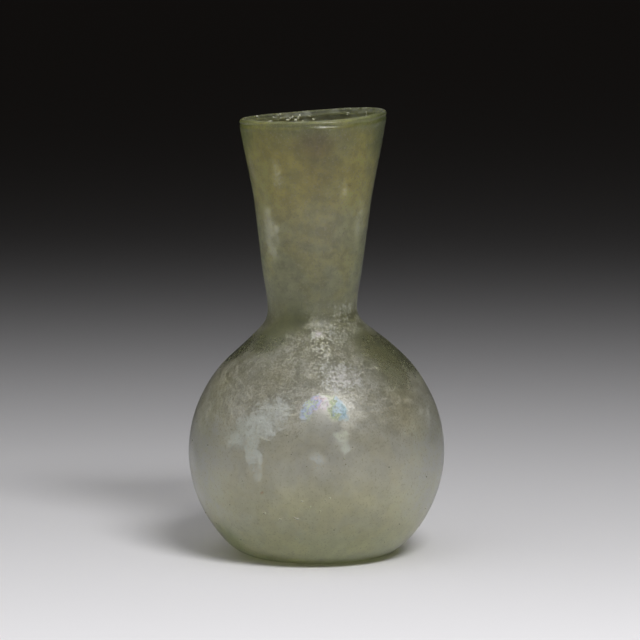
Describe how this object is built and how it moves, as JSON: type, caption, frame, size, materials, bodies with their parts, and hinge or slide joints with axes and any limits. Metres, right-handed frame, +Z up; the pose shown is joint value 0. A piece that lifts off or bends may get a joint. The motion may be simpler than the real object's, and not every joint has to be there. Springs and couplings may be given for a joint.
{
  "type": "glass perfume flask",
  "caption": "Free-blown glass perfume flask with a globular body, a tall funnel neck and an uneven rounded lip, hollow and open at the mouth.",
  "frame": {"origin": "on the surface that the flask stands on, under the middle of the globular body", "axes": "+Z up along the height; the front of the flask faces -Y; +X to the viewer's right"},
  "size_m": [0.0638, 0.0638, 0.111],
  "materials": {
    "weathered_glass": "pale olive-green blown glass under a matte, speckled, faintly iridescent weathering film"
  },
  "bodies": {
    "root": {"glass_flask": "weathered_glass"}
  },
  "joints": []
}
